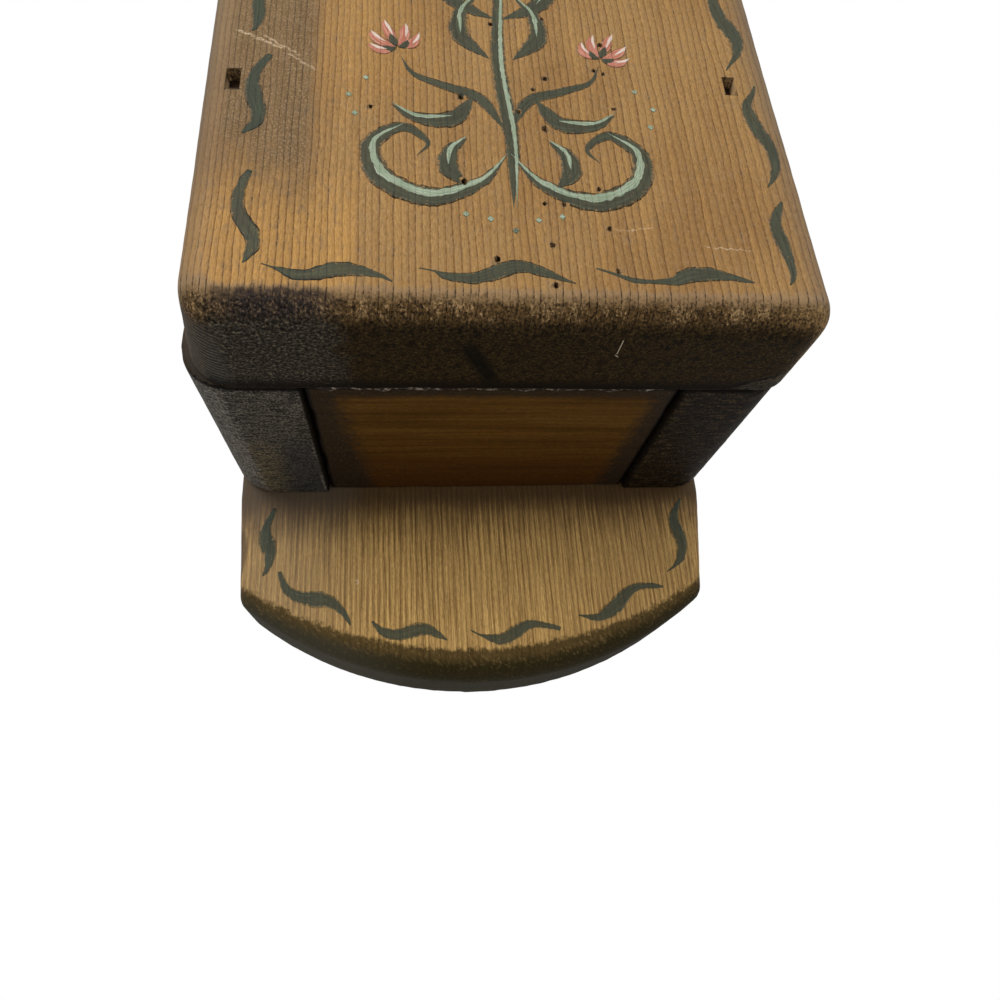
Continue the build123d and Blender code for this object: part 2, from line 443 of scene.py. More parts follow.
# Colour, roughness and relief of the backboard's streaky pine.
def footWood(fin):
    look, tones = footLook, footLook["tones"]
    x, up, deep = fin.x, fin.height, fin.depth - footPlane / mm
    grain = growthLines(fin, x * look["pace"] + deep * 0.2, x, up, deep)
    fine, coarse = mottle(fin, 2.4)
    edge = (fin.noise(fin.vector(x, deep, up), 0.2, 3.0) - 0.5) * 8.0
    lean = x + up * 0.02
    wide = fin.noise(fin.vector(lean * 0.5, deep, up * 0.015), 1.0, 2.0, 0.6)
    narrow = fin.noise(fin.vector(lean * 2.6, deep * 2.6, up * 0.05), 1.0, 4.0, 0.85)
    streak = grain["ring"] * 0.22 + narrow * 1.10 + wide * 0.25
    colour = fin.mix(fin.ease(streak, 0.50, 1.02), tones["late"], tones["early"])
    colour = fin.shade(colour, 0.30 + grain["fibre"] * 1.40)
    # painted shadow of the box: darker close under it
    boxShadow = fin.ease(up + edge * 0.6 - (streak - 0.78) * 9.0, -14.0, -1.0) * fin.ease(up, 20.0, 5.0)
    shadow = fin.ease(up + edge * 0.25, -5.5, -0.5) * fin.ease(up, 20.0, 5.0)
    # scorched rims of the foot and the head
    (lowX, lowUp), radius = look["arc"]
    footRim = radius - awayFrom(x, up, lowX, lowUp + radius)
    headCentre = boxTall + (backHigh.z - boxTop) / mm - look["headRadius"]
    headRim = look["headRadius"] - awayFrom(x, up, 0.0, headCentre)
    ragged = (coarse - 0.5) * 2.4 + edge * 0.16 + (grain["fibre"] - 0.5) * 1.4
    taper = x * x * look["rimTaper"]
    footBurn = fin.ease(footRim + ragged + taper, look["rim"] + 0.8, look["rim"] - 1.8)
    footBurn = footBurn * fin.ease(up, -15.0, -19.5)
    headBurn = fin.ease(headRim + ragged, look["rim"] + 0.8, look["rim"] - 1.8)
    headBurn = headBurn * fin.ease(up, boxTall + 32.0, boxTall + 38.0)
    burn = footBurn + headBurn
    sweep = fin.noise(fin.vector(x * 1.6 + up * 1.1, deep * 1.5, up * 0.7 - x * 0.4), 1.0, 4.0, 0.78)
    burn = fin.ease(burn + (sweep - 0.5) * 0.8 * burn, 0.12, 0.78)
    outer = fin.ease(footRim + taper * 0.6 + edge * 0.12 + (sweep - 0.5) * 3.0, 4.6, 2.0)
    outer = outer * fin.ease(up, -17.0, -23.0)
    olive = fin.mix(fin.ease(x, -10.0, -32.0), tones["olive"], tones["oliveLeft"])
    # stain on the left flank and a small varnish ring
    stainX, stainUp = look["stain"]
    stain = ((x - stainX) ** 2.0 * 0.10 + (up - stainUp) ** 2.0 * 0.030).math("SQRT") + edge * 0.03
    (ringX, ringUp), ringRadius = look["ring"]
    ring = fin.ease(abs(awayFrom(x, up, ringX, ringUp) - ringRadius), 0.26, 0.08)
    ring = ring * fin.ease(x + up * 0.3, -31.9, -31.1)
    rear = fin.ease(fin.facingY, 0.6, 0.9)
    colour = fin.layers(
        colour, tones,
        (grain["line"] * 0.50, "line"),
        (fin.ease(x + edge, 8.0, 34.0) * 0.26, "darker"),
        (fin.ease(x + edge, -18.0, -40.0) * 0.45, "greyer"),
        (boxShadow * 0.84, "boxShadow"),
        (shadow * 0.45, "shadow"),
        (boxShadow * fin.ease(x, -22.0, -32.0) * 0.35, "dust"),
        (burn * 0.90, "burn"),
        (outer * 0.86, olive),
        (burn * fin.ease(sweep, 0.54, 0.68) * (1.0 - outer * 0.6) * 0.50, "bare"),
        (burn * fin.ease(fine, 0.44, 0.34) * 0.45, "coal"),
        (fin.ease(stain, 1.15, 0.85) * 0.72, "stain"),
        (ring * 0.7, "ring"),
        (rear, rawWood(fin, grain)),
    )
    relief = grain["line"] * -0.5 + grain["fibre"] * 0.35 + (fine - 0.5) * 0.3 + ring * 0.5
    rough = 0.42 + 0.16 * fine + burn * 0.08 + rear * 0.2
    return {"colour": colour, "rough": rough, "relief": relief, "grain": grain, "fine": fine}


def footFinish():
    fin = Finish("stainedPineBack")
    wood = footWood(fin)
    return fin.surface(wood["colour"], wood["rough"], wood["relief"], 0.6, 0.16)


sideTones = {
    "sootDark": (0.012, 0.011, 0.009),
    "sootPale": (0.095, 0.084, 0.064),
    "warm": (0.120, 0.090, 0.045),
    "ink": (0.020, 0.020, 0.021),
    "brownDark": (0.0060, 0.0035, 0.0014),
    "brownPale": (0.050, 0.032, 0.014),
    # the two tones of the sheen painted on the rounded end edges
    "sheenDark": (0.050, 0.044, 0.035),
    "sheenPale": (0.165, 0.148, 0.122),
    # painted shade beside the panel
    "shadeBesidePanel": (0.026, 0.022, 0.017),
}


def sideFinish():
    fin = Finish("stainedPineSides")
    tones = {**pineTones, **sideTones}
    x, up, deep = fin.x, fin.height, fin.depth - seamPlane / mm
    grain = growthLines(fin, deep * 0.8 + abs(x) * 0.25, deep, up, x)
    fine, coarse = mottle(fin, 2.4)
    edge = (fin.noise(fin.vector(x, deep, up), 0.2, 3.0) - 0.5) * 8.0
    left = fin.ease(x, 1.0, -1.0)
    colour = fin.mix(fin.ease(grain["broad"], 0.35, 0.7), tones["honey"], tones["amber"])
    colour = fin.layers(colour, tones, (grain["late"] * 0.24, "line"))
    colour = fin.shade(colour, 0.28 + grain["fibre"] * 1.44)
    scorch = fin.ease(up + edge * 0.4, 11.0, 3.0) + fin.ease(up + edge * 0.4, boxTall - 11.0, boxTall - 3.0)
    # end grain sooty at the left, black at the right; a sheen is painted on its rounded edge, broad left,
    # thin right
    ends = fin.ease(abs(fin.facingZ) + (coarse - 0.5) * 0.1, 0.20, 0.55)
    arcs = fin.noise(fin.vector(x * 0.35, deep * 1.5, up), 1.0, 4.0, 0.72)
    warmer = fin.ease(x + edge * 0.3, -35.5, -40.5) * fin.ease(deep + edge * 0.3, 15.0, 22.0)
    inky = fin.ease(x + deep * 0.08, -40.0, -34.0) * fin.ease(deep, 10.0, 24.0)
    mixed = arcs * 0.6 + fine * 0.4
    sooty = fin.mix(fin.ease(mixed, 0.38, 0.62), tones["sootDark"], tones["sootPale"])
    sooty = fin.layers(sooty, tones, (warmer * fin.ease(arcs, 0.35, 0.6) * 0.7, "warm"), (inky * 0.6, "ink"))
    brown = fin.mix(fin.ease(mixed, 0.48, 0.64), tones["brownDark"], tones["brownPale"])
    burnt = fin.mix(left, brown, sooty)
    # how far the surface has turned outwards over the rounded edge, where the sheen is painted
    outwards = abs(fin.facingX) + (arcs - 0.5) * 0.16
    turned = fin.ease(outwards, 0.10, 0.34) * left + fin.ease(outwards, 0.44, 0.70) * (1.0 - left)
    edgeSheen = fin.mix(fin.ease(fine * 0.5 + arcs * 0.5, 0.38, 0.62), tones["sheenDark"], tones["sheenPale"])
    burnt = fin.mix(turned * (0.45 + left * 0.40), burnt, edgeSheen)
    burnt = fin.shade(burnt, 0.15 + fin.ease(fine, 0.30, 0.70) * 1.7)
    # painted shade low on the side, beside the panel
    shadeBesidePanel = fin.ease(up + edge * 0.4, 15.0, 10.0) * fin.ease(deep + edge * 0.2, 7.0, 3.5)
    # painted shade in the joints with the panel and the bottom board
    jointShade = fin.ease(deep, 0.9, 0.25) * ends + fin.ease(abs(x), 32.2, 31.6) * fin.ease(up, 3.2, 2.0)
    inner = fin.ease(fin.facingX * (left * 2.0 - 1.0), 0.6, 0.9) * fin.ease(up, 18.0, 21.0)
    colour = fin.layers(
        colour, tones,
        (grain["line"] * 0.80, "line"),
        (scorch * 0.90, "scorch"),
        (ends, burnt),
        (shadeBesidePanel * (1.0 - ends) * 0.90, "shadeBesidePanel"),
        (jointShade * 0.96, "jointShade"),
        (inner, rawWood(fin, grain)),
    )
    relief = grain["line"] * -0.4 + grain["fibre"] * 0.3 + (fine - 0.5) * 0.6 + ends * (arcs - 0.5)
    return fin.surface(colour, 0.42 + 0.18 * fine, relief, 0.6, 0.16)


floorTones = {
    "early": (0.100, 0.045, 0.0070),
    "late": (0.062, 0.026, 0.0030),
    "deeper": (0.042, 0.013, 0.0022),      # towards the backboard
    "line": (0.020, 0.009, 0.003),
    "margin": (0.015, 0.011, 0.0065),
    "dust": (0.16, 0.12, 0.10),
    "jointShade": pineTones["jointShade"],
}


def floorFinish():
    fin = Finish("stainedPineFloor")
    tones = floorTones
    x, up, deep = fin.x, fin.height, fin.depth - seamPlane / mm
    grain = growthLines(fin, deep * 0.75 + up * 0.2, deep, x, up)
    fine, coarse = mottle(fin, 2.4)
    colour = fin.mix(fin.ease(grain["broad"], 0.35, 0.7), tones["early"], tones["late"])
    colour = fin.layers(colour, tones, (fin.ease(deep + (coarse - 0.5) * 8.0, 12.0, 38.0) * 0.80, "deeper"))
    colour = fin.shade(colour, 0.25 + grain["fibre"] * 1.50)
    # blotchy black margins beside the other boards
    left = fin.ease(x + deep * -0.12 + (coarse - 0.5) * 7.0, -24.5, -29.0)
    right = fin.ease(x + deep * 0.05 + (coarse - 0.5) * 6.0, 25.5, 29.5)
    margins = left + right + fin.ease(deep + (coarse - 0.5) * 2.0, 4.4, 2.2)
    margins = margins.math("MINIMUM", 1.0)
    # painted shade in the joints beside the sides and the panel
    floorJointShade = fin.ease(abs(x), 29.9, 30.6) + fin.ease(deep, 1.6, 0.7)
    inner = fin.ease(fin.facingZ, 0.5, 0.9)
    colour = fin.layers(
        colour, tones,
        (grain["line"] * 0.75, "line"),
        (margins * 0.86, "margin"),
        (margins * fin.ease(fine, 0.56, 0.70) * 0.35, "dust"),
        (floorJointShade * 0.9, "jointShade"),
        (inner, rawWood(fin, grain)),
    )
    relief = grain["line"] * -0.4 + grain["fibre"] * 0.3 + (fine - 0.5) * 0.5
    return fin.surface(colour, 0.42 + 0.16 * fine, relief, 0.5, 0.14)


smallTones = {
    "steel": (0.035, 0.032, 0.030),
    "rust": (0.060, 0.030, 0.015),
    "glue": (0.024, 0.018, 0.013),
    "glueDust": (0.270, 0.225, 0.185),
}


def nailFinish():
    fin = Finish("darkNailSteel")
    fine, coarse = mottle(fin, 3.0)
    colour = fin.mix(fin.ease(coarse, 0.40, 0.62), smallTones["steel"], smallTones["rust"])
    return fin.surface(colour, 0.45 + 0.3 * fine, fine, 0.4, 0.05, metal=0.7)


def glueFinish():
    fin = Finish("dustyGlue")
    fine, coarse = mottle(fin, 1.6)
    dusty = fin.ease(fine * 0.7 + coarse * 0.3, 0.48, 0.62)
    colour = fin.mix(dusty, smallTones["glue"], smallTones["glueDust"])
    return fin.surface(colour, 0.5 + 0.2 * fine, fine, 0.7, 0.12)


# A new object in the scene.
def addObject(name, data):
    made = bpy.data.objects.new(name, data)
    bpy.context.scene.collection.objects.link(made)
    return made


def meshFrom(name, shape):
    mesh = bpy.data.meshes.new(name)
    shape.to_mesh(mesh)
    shape.free()
    return mesh


# The board's mesh as its modifiers leave it.
def applyModifiers(board):
    graph = bpy.context.evaluated_depsgraph_get()
    finished = bpy.data.meshes.new_from_object(board.evaluated_get(graph))
    board.modifiers.clear()
    board.data = finished


def smoothFaces(mesh):
    for face in mesh.polygons:
        face.use_smooth = True


wear = {
    "grid": 0.66,                # size of the even mesh
    "easing": 0.4,               # smoothing over the sharp edges
    "swell": (0.08, 0.045),      # slow unevenness of a hand-sanded board: height and pace
    "dent": (0.04, 0.35),
    "sharp": (0.22, 0.35),       # bend in radians from which an edge wears, and how soon it does fully
    "chip": 0.40,                # deepest nick out of an edge
    "nick": (0.16, 0.18),        # pace of the nicks, and how much of an edge they leave alone
}


slotLook = {
    "size": (2.2, 4.2),
    "deep": 2.05,                # down to the nail's head
    "proud": 1.0,                # how far the cutter stands out of the face
    "plug": 3.5,                 # depth of the filling
    "clear": 4.5,                # no wear nearer than this
}
slotPlaces = []
for side in ("left", "right"):
    for level in ("lower", "upper"):
        low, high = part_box(f"front_nail_{side}_{level}")
        slotPlaces.append((low + high) / 2)


# A box in the panel's face over a nail, deep mm into the wood and proud mm out of it.
def slotBlock(shape, place, deep, proud):
    wide, tall = slotLook["size"]
    centre = Vector((place.x, faceFront + (deep - proud) / 2 * mm, place.z))
    size = Matrix.Diagonal((wide, deep + proud, tall, 1.0))
    bmesh.ops.create_cube(shape, size=mm, matrix=Matrix.Translation(centre) @ size)


# A copy of a board's solid with an even mesh that can be worn. The nail slots are filled for it, because
# it would blur them: wormHoles cuts them again.
def evenMesh(source, name, grid):
    mesh = source.data.copy()
    mesh.name = name
    mesh.materials.clear()
    shape = bmesh.new()
    shape.from_mesh(mesh)
    bmesh.ops.remove_doubles(shape, verts=shape.verts, dist=0.002 * mm)
    if source.name == "front_panel":
        for place in slotPlaces:
            slotBlock(shape, place, slotLook["plug"], 0.0)
    shape.to_mesh(mesh)
    shape.free()
    board = addObject(name, mesh)
    even = board.modifiers.new("even", "REMESH")
    even.mode = "VOXEL"
    even.voxel_size = grid * mm
    even.adaptivity = 0.0
    applyModifiers(board)
    bpy.data.meshes.remove(mesh)
    board.data.name = name
    return board


def nearSlot(spot):
    return any(math.hypot(spot.x - slot.x, spot.z - slot.z) < slotLook["clear"] * mm for slot in slotPlaces)


# A board that stands for its solid: eased edges, slow swell, small dents and nicks.
def wornBoard(node, name, finish, seed):
    board = evenMesh(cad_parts[node], name, wear["grid"])
    shape = bmesh.new()
    shape.from_mesh(board.data)
    bmesh.ops.smooth_vert(shape, verts=shape.verts, factor=wear["easing"], use_axis_x=True, use_axis_y=True,
                          use_axis_z=True)
    shape.normal_update()
    shift = Vector((seed * 7.3, seed * 3.1, seed * 5.7))
    swell, swellPace = wear["swell"]
    dent, dentPace = wear["dent"]
    sharpFrom, sharpOver = wear["sharp"]
    nickPace, nickFrom = wear["nick"]
    for vert in shape.verts:
        place = vert.co / mm
        bend = max((edge.calc_face_angle(0.0) for edge in vert.link_edges), default=0.0)
        move = swell * noise.noise(place * swellPace + shift)
        move += dent * noise.noise(place * dentPace + shift)
        sharp = min(max((bend - sharpFrom) / sharpOver, 0.0), 1.0)
        if node == "front_panel" and nearSlot(vert.co):
            sharp = 0.0
        nick = max(noise.noise(place * nickPace + shift * 2.0) - nickFrom, 0.0)
        move -= wear["chip"] * sharp * (0.10 + 2.0 * nick)
        vert.co += vert.normal * move * mm
    shape.to_mesh(board.data)
    shape.free()
    board.data.materials.append(finish)
    smoothFaces(board.data)
    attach(board, "root")
    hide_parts(node)
    return board


wormLook = {
    # x and height of the ones in the lower half; the rest are scattered over the upper half
    "seen": ((18.9, 57.1), (17.1, 50.5), (18.6, 49.9), (8.5, 47.9), (6.3, 45.1), (3.6, 39.9), (7.5, 36.4),
             (19.4, 41.7), (15.0, 24.2), (6.2, 20.8), (9.2, 20.9), (15.7, 16.5), (6.7, 13.0), (16.0, 8.5),
             (6.6, 5.6), (-1.6, 10.1), (9.3, 62.9), (0.2, 60.7), (-5.5, 42.8), (-19.8, 39.5), (-5.6, 24.7)),
    "scattered": 26,
    "round": (10.0, 11.0),       # their middle and spread in x
    "heights": (68.0, boxTall - 12.0),
    "radius": (0.28, 0.52),
    "lean": 25,                  # degrees off straight
    "deep": 1.6,
    "seed": 8,
}


# Small bored holes in the front face, and the crisp mouths of the nail slots.
def wormHoles(board):
    look = wormLook
    draw = random.Random(look["seed"])
    places = list(look["seen"])
    for count in range(look["scattered"]):
        places.append((draw.gauss(*look["round"]), draw.uniform(*look["heights"])))
    drills = bmesh.new()
    for x, height in places:
        radius = draw.uniform(*look["radius"]) * mm
        lean = Matrix.Rotation(math.radians(90 + draw.uniform(-look["lean"], look["lean"])), 4, "X")
        lean = lean @ Matrix.Rotation(math.radians(draw.uniform(-look["lean"], look["lean"])), 4, "Y")
        centre = at(x, faceFront, height)
        bmesh.ops.create_cone(drills, cap_ends=True, segments=10, radius1=radius, radius2=radius,
                              depth=2 * look["deep"] * mm, matrix=Matrix.Translation(centre) @ lean)
    for place in slotPlaces:
        slotBlock(drills, place, slotLook["deep"], slotLook["proud"])
    tool = addObject("drills", meshFrom("drills", drills))
    cut = board.modifiers.new("worm", "BOOLEAN")
    cut.operation = "DIFFERENCE"
    cut.solver = "EXACT"
    cut.use_self = True
    cut.object = tool
    applyModifiers(board)
    bpy.data.objects.remove(tool)
    smoothFaces(board.data)


brush = {
    "step": 0.5,                 # along a stroke
    "across": 6,                 # strips over its width
    "lift": 0.04,                # thickness of one coat of paint
    "sunk": 0.25,                # how deep its underside lies in the wood
    "taper": 0.9,
    "least": 0.03,               # half width of a stroke's tip
    "ragged": 1.1,               # pace of its uneven edge
    "facing": -0.4,              # faces that look forward more than this are shaded smooth
}


# Points spaced about a step apart on a smooth line through the given ones.
def throughPoints(points, step):
    ends = [points[0] * 2 - points[1], *points, points[-1] * 2 - points[-2]]
    line = []
    for before, start, end, after in zip(ends, ends[1:], ends[2:], ends[3:]):
        count = max(2, int((end - start).length / step))
        for part in range(count):
            t = part / count
            bend = 2 * before - 5 * start + 4 * end - after
            twist = 3 * start - before - 3 * end + after
            line.append(0.5 * (2 * start + (end - before) * t + bend * t * t + twist * t * t * t))
    return line + [points[-1]]


# One stroke of paint laid on the wood. Points are x, height and width in mm; with one width for the
# whole stroke it swells up to the share fat of its length and tapers off. The layer keeps how far a
# point is from the stroke's middle, 0 to 1, for its finish.
def brushStroke(shape, layer, surface, points, width=None, coat=1, fat=0.5, jag=0.10):
    line = [Vector((point[0], width or point[2], point[1])) for point in points]
    line = throughPoints(line, brush["step"])
    seed = Vector((points[0][0] * 0.7, points[0][1] * 0.9, coat * 3.0))
    rows = []
    for index, centre in enumerate(line):
        t = index / (len(line) - 1)
        ahead = line[min(index + 1, len(line) - 1)] - line[max(index - 1, 0)]
        side = Vector((-ahead.z, 0.0, ahead.x)).normalized()
        half = 0.5 * centre.y
        if width:
            rise = min(t / fat, 1.0)
            fall = min((1.0 - t) / (1.0 - fat), 1.0)
            half *= math.sin(rise * math.pi / 2) ** brush["taper"]
            half *= math.sin(fall * math.pi / 2) ** brush["taper"]
        half = max(half, brush["least"])
        row = []
        for strip in range(brush["across"] + 1):
            share = 2.0 * strip / brush["across"] - 1.0
            ragged = 1.0 + jag * 2.0 * noise.noise(centre * brush["ragged"] + seed + side * share * 2.0)
            spot = centre + side * share * half * ragged
            start = Vector((spot.x * mm, surface["from"], underside + spot.z * mm))
            hit = surface["tree"].ray_cast(start, Vector((0.0, 1.0, 0.0)))[0]
            if hit is None:
                hit = Vector((start.x, surface["plane"], start.z))
            row.append((hit, share))
        rows.append(row)
    lift = brush["lift"] * coat * mm
    top, under = [], []
    forward = Vector((0.0, -1.0, 0.0))
    for row in rows:
        top.append([shape.verts.new(hit + forward * lift * (1.04 - share ** 4)) for hit, share in row])
        under.append([shape.verts.new(hit - forward * brush["sunk"] * mm) for hit, share in row])
        for verts in (top[-1], under[-1]):
            for vert, (hit, share) in zip(verts, row):
                vert[layer] = abs(share)
    for a, b, c, d in zip(top, top[1:], under, under[1:]):
        for strip in range(brush["across"]):
            shape.faces.new((a[strip], a[strip + 1], b[strip + 1], b[strip]))
            shape.faces.new((c[strip + 1], c[strip], d[strip], d[strip + 1]))
        shape.faces.new((a[0], b[0], d[0], c[0]))
        shape.faces.new((b[-1], a[-1], c[-1], d[-1]))
    for upper, lower in ((top[0], under[0]), (top[-1], under[-1])):
        for strip in range(brush["across"]):
            shape.faces.new((upper[strip], lower[strip], lower[strip + 1], upper[strip + 1]))


# All strokes of one colour on one board.
def paintedPiece(name, surface, strokes, finish):
    shape = bmesh.new()
    layer = shape.verts.layers.float.new("share")
    for stroke in strokes:
        brushStroke(shape, layer, surface, **stroke)
    bmesh.ops.recalc_face_normals(shape, faces=shape.faces)
    mesh = meshFrom(name, shape)
    piece = addObject(name, mesh)
    mesh.materials.append(finish)
    for face in mesh.polygons:
        face.use_smooth = face.normal.y < brush["facing"]
    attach(piece, "root")


paintLook = {
    # the lighter and the darker tone of each paint
    "darkGreen": ((0.052, 0.074, 0.052), (0.030, 0.043, 0.034)),
    "paleGreen": ((0.42, 0.50, 0.38), (0.20, 0.28, 0.19)),
    "rosePink": ((0.62, 0.30, 0.22), (0.40, 0.115, 0.075)),
    "creamWhite": ((0.80, 0.72, 0.64), (0.66, 0.50, 0.42)),
    "grainTone": (0.02, 0.02, 0.014),
    "cover": 0.9,
}


# Old oil paint: the grain shows through, and the stroke's edge is dry.
def paintFinish(name, wood, paintName):
    fin = Finish(name)
    base = wood(fin)
    share = fin.node("ShaderNodeAttribute", {"attribute_name": "share"}, {}, "Fac")
    hair = fin.noise(fin.vector(share * 5.0, fin.height * 0.25, fin.x * 0.25), 1.0, 3.0, 0.6)
    light, dark = paintLook[paintName]
    paint = fin.mix(fin.ease(hair + (base["fine"] - 0.5) * 0.3, 0.35, 0.70), dark, light)
    paint = fin.mix(base["grain"]["line"] * 0.35, paint, paintLook["grainTone"])
    worn = fin.ease(share + (base["fine"] - 0.5) * 0.9 + base["grain"]["line"] * 0.15, 1.02, 0.70)
    worn = worn * fin.ease(base["fine"], 0.26, 0.36)
    colour = fin.mix(worn * paintLook["cover"], base["colour"], paint)
    return fin.surface(colour, base["rough"] - 0.03, base["relief"] + hair * 0.3, 0.45, 0.12)


# comma strokes round the front and the foot: x, height and width along each
borderLook = {
    "front": (
        ((-36.8, 25.3, 0.8), (-37.4, 23.7, 1.4), (-37.9, 21.7, 1.7), (-38.1, 19.6, 2.0),
         (-37.9, 17.6, 2.2), (-37.1, 15.7, 2.4), (-36.2, 14.3, 2.6), (-35.6, 12.7, 2.2),
         (-35.5, 11.1, 2.1), (-36.0, 9.8, 1.3), (-36.3, 8.9, 0.7), (-36.6, 8.4, 0.2)),
        ((-34.1, 8.3, 0.2), (-32.5, 7.7, 0.4), (-31.1, 7.2, 1.1), (-29.7, 6.6, 1.8), (-28.1, 6.6, 1.9),
         (-26.5, 6.9, 2.3), (-25.1, 7.4, 2.6), (-23.5, 7.7, 2.7), (-21.9, 7.6, 2.3), (-20.5, 7.4, 1.8),
         (-19.1, 7.0, 1.2), (-17.7, 6.5, 0.7), (-16.4, 5.7, 0.2)),
        ((-12.7, 8.2, 0.2), (-10.5, 7.7, 0.4), (-9.3, 7.0, 1.3), (-7.4, 6.7, 1.8), (-5.5, 6.6, 2.0),
         (-3.5, 7.1, 2.3), (-1.5, 8.0, 2.7), (0.5, 8.8, 2.6), (2.5, 8.8, 2.3), (4.4, 8.2, 1.9),
         (6.1, 7.5, 1.4), (7.6, 6.8, 0.8), (9.5, 6.1, 0.2)),
        ((12.8, 8.9, 0.3), (15.0, 8.1, 0.5), (16.7, 7.4, 0.7), (18.4, 6.8, 1.0), (20.8, 6.7, 0.8),
         (22.7, 6.8, 1.1), (24.3, 6.9, 1.8), (25.8, 7.7, 2.6), (27.4, 8.2, 2.8), (29.2, 8.3, 2.7),
         (30.7, 8.3, 2.3), (32.2, 8.0, 1.7), (33.8, 7.7, 1.1), (35.1, 7.3, 0.9), (36.5, 7.0, 0.2)),
        ((-35.4, 50.0, 1.0), (-36.4, 48.3, 1.5), (-37.3, 46.2, 1.8), (-37.7, 43.7, 2.2),
         (-37.5, 41.4, 2.7), (-36.9, 39.1, 2.7), (-36.4, 36.9, 2.3), (-36.7, 34.9, 1.9),
         (-37.7, 33.6, 1.2), (-38.5, 32.6, 0.4)),
        ((-38.8, 68.4, 0.5), (-38.2, 66.5, 1.4), (-38.0, 64.5, 1.8), (-38.1, 62.6, 2.2),
         (-37.9, 60.3, 2.4), (-37.9, 58.0, 1.9), (-38.2, 56.3, 1.0), (-38.6, 55.3, 0.4)),
        ((43.9, 75.3, 0.4), (42.5, 73.1, 1.4), (41.7, 71.1, 2.2), (41.8, 68.6, 2.8), (42.4, 65.7, 3.3),
         (43.4, 63.3, 3.6), (44.1, 61.0, 3.0), (43.9, 58.5, 2.1), (43.2, 56.5, 1.3), (42.1, 54.8, 0.7),
         (40.8, 52.8, 0.2)),
        ((45.2, 49.2, 0.4), (44.5, 47.4, 0.9), (43.4, 45.5, 1.5), (42.7, 43.6, 2.2), (43.1, 40.8, 2.8),
         (43.8, 38.0, 2.9), (44.7, 35.6, 2.6), (45.1, 33.3, 2.4), (45.0, 30.9, 1.9), (44.4, 28.9, 1.5),
         (43.5, 27.2, 0.7), (42.6, 26.0, 0.2)),
        ((44.3, 23.0, 0.5), (43.5, 21.5, 1.3), (42.6, 19.6, 1.9), (42.2, 17.6, 2.3), (42.4, 15.6, 2.6),
         (42.7, 13.8, 2.4), (42.9, 12.1, 2.0), (43.0, 10.4, 1.6), (43.0, 9.0, 1.3), (42.6, 7.6, 0.8),
         (42.0, 6.7, 0.2)),
    ),
    "foot": (
        ((-42.3, -3.4, 0.8), (-43.0, -5.4, 1.4), (-43.7, -7.5, 1.9), (-43.8, -9.4, 2.9),
         (-43.4, -11.1, 3.6), (-42.8, -12.8, 2.8), (-42.8, -14.8, 1.9), (-43.1, -16.5, 1.3),
         (-43.8, -17.8, 0.3)),
        ((-40.6, -17.0, 0.8), (-40.0, -18.8, 1.3), (-39.2, -20.5, 1.8), (-37.8, -21.7, 2.3),
         (-36.0, -22.5, 2.8), (-34.2, -22.7, 3.3), (-32.4, -23.0, 3.4), (-30.5, -23.5, 2.6),
         (-28.9, -24.7, 1.8), (-27.8, -26.0, 1.4), (-27.0, -27.3, 0.9), (-26.6, -28.2, 0.3)),
        ((-22.4, -27.6, 0.5), (-21.3, -28.9, 1.2), (-20.0, -29.9, 2.0), (-18.1, -30.4, 2.5),
         (-16.3, -30.3, 2.8), (-14.4, -29.8, 3.0), (-12.5, -29.5, 2.8), (-11.0, -29.9, 2.2),
         (-9.8, -30.6, 1.6), (-8.5, -31.4, 0.8), (-7.8, -31.9, 0.2)),
        ((-3.1, -30.1, 0.3), (-1.5, -31.0, 0.5), (-0.1, -31.5, 1.1), (1.3, -31.9, 2.0),
         (2.8, -32.1, 2.4), (4.5, -31.5, 2.8), (6.1, -30.6, 2.8), (8.1, -29.6, 2.4), (10.1, -29.3, 1.7),
         (12.0, -29.7, 1.4), (13.6, -30.0, 1.1), (14.9, -30.5, 1.0)),
        ((18.9, -27.8, 0.3), (20.4, -28.1, 0.8), (22.0, -28.4, 1.6), (23.7, -28.2, 2.2),
         (25.4, -27.2, 3.0), (27.3, -25.8, 3.2), (28.8, -24.2, 2.9), (30.4, -22.9, 2.3),
         (32.2, -22.2, 1.8), (34.2, -22.1, 1.5), (35.9, -22.2, 1.3), (37.5, -22.4, 0.5)),
        ((44.5, -2.5, 0.4), (43.3, -4.3, 1.2), (42.2, -6.6, 2.1), (42.2, -8.8, 3.0), (42.8, -11.0, 3.2),
         (43.1, -13.2, 2.7), (42.6, -15.4, 2.2), (41.8, -16.8, 1.7), (40.6, -18.0, 0.7),
         (38.8, -19.2, 0.2)),
    ),
    # further strokes, up both long edges (heights) and in a row under the rim (x)
    "rising": (82.0, 100.0, 118.0, 136.0),
    "rim": (-27.0, -2.0, 23.0),
    "swirl": ((-1.0, 8.0), (1.4, 3.5), (0.8, 0.0), (-1.2, -3.4), (0.8, -8.0)),
    "width": 2.7,
    "columns": (3.0, 40.0),      # middle between the two rising rows, and half their distance
    "underRim": 8.5,
    "headRow": 21.0,             # the foot's row turned over onto the head, this far over the rim
}


def borderStrokes():
    look = borderLook
    strokes = [{"points": line} for line in look["front"]]
    between, reach = look["columns"]
    lines = []
    for middle in look["rising"]:
        for side in (-1, 1):
            lines.append([(between + side * (reach - across), middle + rise)
                          for across, rise in look["swirl"]])
    level = boxTall - look["underRim"]
    for middle in look["rim"]:
        lines.append([(middle + rise * 1.25, level + across * 0.9) for across, rise in look["swirl"]])
    return strokes + [{"points": line, "width": look["width"]} for line in lines]


def footStrokes():
    look = borderLook
    strokes = [{"points": line} for line in look["foot"]]
    level = boxTall + look["headRow"]
    for line in look["foot"][1:5]:
        strokes.append({"points": [(x, level - height, width) for x, height, width in line]})
    return strokes


